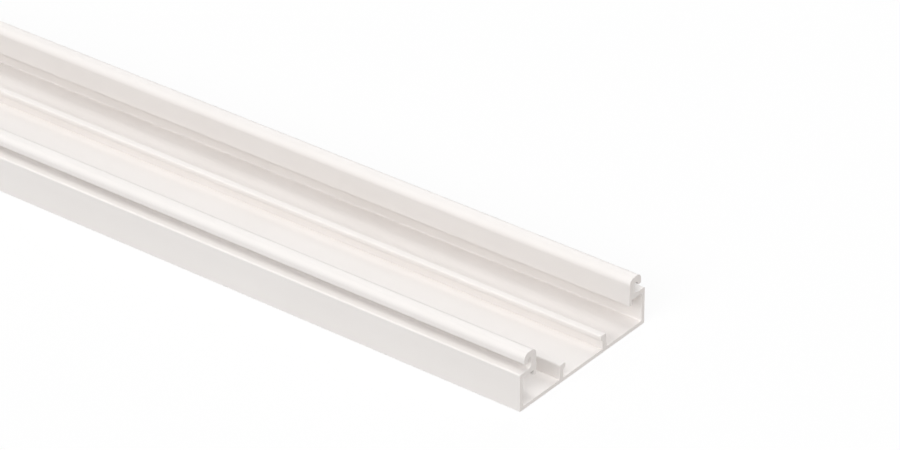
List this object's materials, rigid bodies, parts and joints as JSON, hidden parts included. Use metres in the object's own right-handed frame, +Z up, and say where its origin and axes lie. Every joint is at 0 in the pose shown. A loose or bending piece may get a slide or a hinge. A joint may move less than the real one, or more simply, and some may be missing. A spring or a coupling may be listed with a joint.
{
  "type": "cord cover raceway",
  "caption": "Length of extruded white plastic raceway base: a shallow open trough with lips, latch hooks for a clip-on cover and hooked floor ribs, to carry cords along a wall.",
  "frame": {"origin": "middle of the flat back, at half the length and half the width", "axes": "+X across the channel, +Y along its length, +Z up from the flat back to the open top"},
  "size_m": [0.133, 1.524, 0.0404],
  "materials": {
    "white_pvc": "satin extruded rigid PVC, warm white"
  },
  "bodies": {
    "root": {"raceway_base": "white_pvc"}
  },
  "joints": []
}
